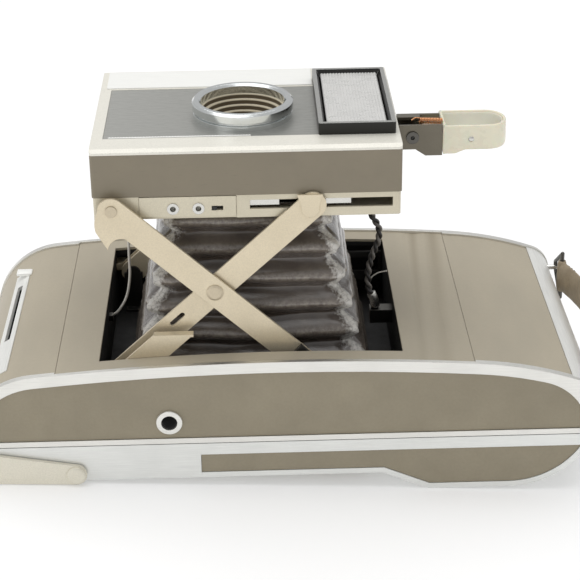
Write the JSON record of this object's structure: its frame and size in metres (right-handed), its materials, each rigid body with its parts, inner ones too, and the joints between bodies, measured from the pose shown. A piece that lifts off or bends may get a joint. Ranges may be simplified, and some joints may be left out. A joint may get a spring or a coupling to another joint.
{
  "type": "folding instant roll-film camera",
  "caption": "Folding instant roll-film camera on its back, lens board run out on crossed struts and bellows, with hinged back door, finger-loop release and hand strap.",
  "frame": {"origin": "centre of the tripod socket's mouth, on the base side of the body", "axes": "+X along the body towards the hand strap, +Y from the tripod socket through the body to the viewfinder side, +Z along the lens axis towards the subject"},
  "size_m": [0.2679, 0.1438, 0.1488],
  "materials": {
    "satin_aluminium": "satin, softly brushed, with fine scuffs",
    "deck_covering": "warm grey enamel over pressed aluminium",
    "leatherette": "fine pebbled leatherette",
    "inner_black": "matt black moulding",
    "champagne_metal": "champagne lacquer",
    "bright_steel": "bright plated steel",
    "case_plastic": "taupe moulded plastic with a soft gloss",
    "cream_plastic": "ivory moulded plastic",
    "lever_metal": "grey-bronze lacquered sheet",
    "name_plate": "charcoal anodised sheet, blank",
    "chrome": "polished plating",
    "cell_frame": "black moulding",
    "cell_pane": "ribbed translucent pane",
    "glass": "coated glass",
    "bellows_cloth": "black-brown coated cloth with worn folds",
    "lead_cover": "cloth and rubber covered leads",
    "strap_leather": "brown-grey folded leather"
  },
  "bodies": {
    "camera_body": {"chassis": "inner_black", "side_frames": "satin_aluminium", "side_panels": "leatherette", "front_deck": "deck_covering", "left_deck": "deck_covering", "right_deck": "deck_covering", "end_cap": "satin_aluminium", "tab_strip": "satin_aluminium", "tripod_socket": "satin_aluminium", "strut_posts": "champagne_metal", "strut_guides": "satin_aluminium", "strut_catches": "champagne_metal", "body_roller_cheeks": "bright_steel", "hinge_barrels_body": "bright_steel", "hinge_pin": "bright_steel", "finder_case": "case_plastic", "finder_lenses": "glass", "strap_lugs": "bright_steel", "lead_anchors": "lever_metal", "bellows": "bellows_cloth", "cell_lead": "lead_cover", "flash_lead": "lead_cover"},
    "lens_board": {"board_case": "case_plastic", "rear_pan": "satin_aluminium", "socket_cover": "lever_metal", "flash_sockets": "bright_steel", "slot_bars": "bright_steel", "face_plate": "champagne_metal", "name_plate": "name_plate", "trim_strip": "satin_aluminium", "lens_ring": "chrome", "lens_hood": "cream_plastic", "lens_barrel": "cell_frame", "lens_glasses": "glass", "cell_block": "cell_frame", "cell_window": "cell_pane", "cell_element": "cell_frame", "board_rivets": "bright_steel", "lever_bracket": "lever_metal", "lever_pin": "bright_steel"},
    "outer_struts": {"outer_struts": "champagne_metal", "cross_rivets": "bright_steel"},
    "inner_struts": {"inner_struts": "champagne_metal", "strut_sliders": "bright_steel"},
    "release_lever": {"lever_channel": "lever_metal", "finger_loop": "cream_plastic"},
    "shutter": {"shutter_blade": "cell_frame"},
    "sync_switch": {"sync_switch": "lever_metal"},
    "back_door": {"door_shell": "satin_aluminium", "door_inlays": "leatherette", "back_panels": "leatherette", "pressure_plate": "inner_black", "hinge_barrels_door": "bright_steel", "door_roller_cheeks": "bright_steel", "bail_screws": "bright_steel"},
    "latch_bail": {"latch_bail": "champagne_metal"},
    "strap": {"hand_strap": "strap_leather", "strap_wires": "bright_steel"},
    "body_roller": {"body_roller": "bright_steel"},
    "door_roller": {"door_roller": "bright_steel"}
  },
  "joints": [
    {"name": "board_slide", "type": "slide", "parent": "camera_body", "child": "lens_board", "axis": [0, 0, 1], "range_m": [-0.0616, 0], "deforming": ["bellows", "cell_lead", "flash_lead"]},
    {"name": "outer_strut_swing", "type": "hinge", "parent": "lens_board", "child": "outer_struts", "pos_m": [-0.0191, 0.0645, 0.0849], "axis": [0, 1, 0], "range_deg": [-38, 0]},
    {"name": "inner_strut_swing", "type": "hinge", "parent": "camera_body", "child": "inner_struts", "pos_m": [-0.0191, 0.0645, 0.0143], "axis": [0, 1, 0], "range_deg": [0, 38]},
    {"name": "lever_press", "type": "hinge", "parent": "lens_board", "child": "release_lever", "pos_m": [0.0984, 0.0645, 0.1019], "axis": [0, 1, 0], "range_deg": [0, 10], "stiffness_Nm_per_rad": 0.05, "springref_deg": -11.46},
    {"name": "shutter_swing", "type": "hinge", "parent": "lens_board", "child": "shutter", "pos_m": [0.052, 0.0558, 0.0874], "axis": [0, 0, 1], "range_deg": [-32, 0], "stiffness_Nm_per_rad": 0.002, "springref_deg": 17.19},
    {"name": "sync_slide", "type": "slide", "parent": "lens_board", "child": "sync_switch", "axis": [1, 0, 0], "range_m": [0, 0.0022]},
    {"name": "door_swing", "type": "hinge", "parent": "camera_body", "child": "back_door", "pos_m": [0.1732, 0.0645, -0.00985], "axis": [0, 1, 0], "range_deg": [-105, 0]},
    {"name": "bail_swing", "type": "hinge", "parent": "back_door", "child": "latch_bail", "pos_m": [-0.038, 0.0645, -0.0221], "axis": [0, 1, 0], "range_deg": [-95, 0]},
    {"name": "strap_swing", "type": "hinge", "parent": "camera_body", "child": "strap", "pos_m": [0.173, 0.0645, 0.0083], "axis": [0, 1, 0], "range_deg": [-25, 0]},
    {"name": "body_roller_spin", "type": "hinge", "parent": "camera_body", "child": "body_roller", "pos_m": [-0.064, 0.0645, -0.0037], "axis": [0, 1, 0], "continuous": true},
    {"name": "door_roller_spin", "type": "hinge", "parent": "back_door", "child": "door_roller", "pos_m": [-0.064, 0.0645, -0.0133], "axis": [0, 1, 0], "continuous": true}
  ],
  "couplings": [
    {"joint": "outer_strut_swing", "follows": "board_slide", "rad_per_m": 10.629},
    {"joint": "inner_strut_swing", "follows": "board_slide", "rad_per_m": -10.629}
  ]
}
